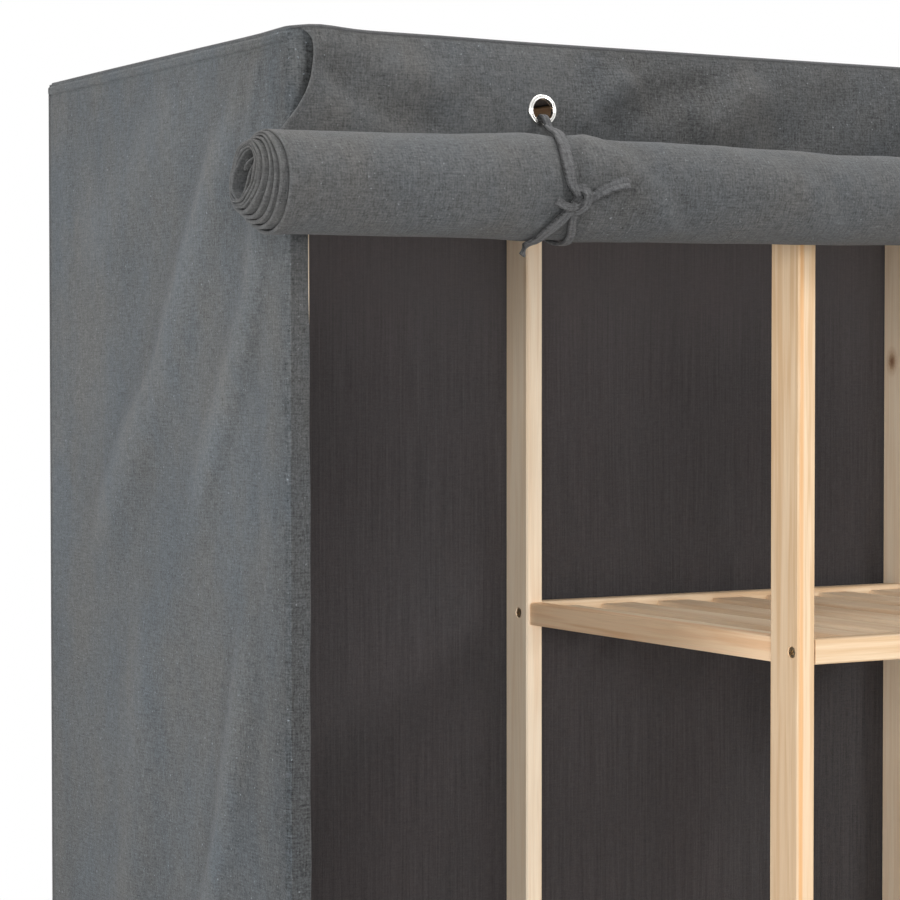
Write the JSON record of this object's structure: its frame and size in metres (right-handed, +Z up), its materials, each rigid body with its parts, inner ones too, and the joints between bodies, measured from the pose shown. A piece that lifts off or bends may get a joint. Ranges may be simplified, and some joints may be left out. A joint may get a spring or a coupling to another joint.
{
  "type": "fabric wardrobe",
  "caption": "Free-standing wardrobe: pine ladder frame with slatted shelves between two hanging bays, under a grey cloth cover whose front is rolled up and tied.",
  "frame": {"origin": "on the floor, under the middle of the whole object's box, the roll in front included", "axes": "+Z up, the open front faces -Y, +X to the right seen from the front"},
  "size_m": [1.32, 0.4758, 1.6998],
  "materials": {
    "pine": "planed and unvarnished, fine grain",
    "grey_cloth": "matt plain-woven polyester with light flecks",
    "nickel": "bright nickel plate"
  },
  "bodies": {
    "frame": {"centre_bottom_shelf": "pine", "centre_lower_shelf": "pine", "centre_middle_shelf": "pine", "centre_top_front_rail": "pine", "centre_top_rear_rail": "pine", "centre_upper_shelf": "pine", "cover_back_panel": "grey_cloth", "cover_left_panel": "grey_cloth", "cover_piping": "grey_cloth", "cover_right_panel": "grey_cloth", "cover_top_panel": "grey_cloth", "left_bottom_shelf": "pine", "left_hanging_rod": "pine", "left_inner_bottom_side_rail": "pine", "left_inner_front_post": "pine", "left_inner_lower_side_rail": "pine", "left_inner_middle_side_rail": "pine", "left_inner_rear_post": "pine", "left_inner_rod_rail": "pine", "left_inner_top_side_rail": "pine", "left_inner_upper_side_rail": "pine", "left_outer_bottom_side_rail": "pine", "left_outer_front_post": "pine", "left_outer_middle_side_rail": "pine", "left_outer_rear_post": "pine", "left_outer_rod_rail": "pine", "left_outer_top_side_rail": "pine", "left_top_front_rail": "pine", "left_top_rear_rail": "pine", "right_bottom_shelf": "pine", "right_hanging_rod": "pine", "right_inner_bottom_side_rail": "pine", "right_inner_front_post": "pine", "right_inner_lower_side_rail": "pine", "right_inner_middle_side_rail": "pine", "right_inner_rear_post": "pine", "right_inner_rod_rail": "pine", "right_inner_top_side_rail": "pine", "right_inner_upper_side_rail": "pine", "right_outer_bottom_side_rail": "pine", "right_outer_front_post": "pine", "right_outer_middle_side_rail": "pine", "right_outer_rear_post": "pine", "right_outer_rod_rail": "pine", "right_outer_top_side_rail": "pine", "right_top_front_rail": "pine", "right_top_rear_rail": "pine"},
    "rolled_front": {"cover_front_roll": "grey_cloth", "left_eyelet": "nickel", "left_tie_bow": "grey_cloth", "left_tie_strap": "grey_cloth", "middle_eyelet": "nickel", "middle_tie_bow": "grey_cloth", "middle_tie_strap": "grey_cloth", "right_eyelet": "nickel", "right_tie_bow": "grey_cloth", "right_tie_strap": "grey_cloth"}
  },
  "joints": [
    {"name": "front_lift", "type": "hinge", "parent": "frame", "child": "rolled_front", "pos_m": [0, -0.16297, 1.6987], "axis": [-1, 0, 0], "range_deg": [0, 210]}
  ]
}
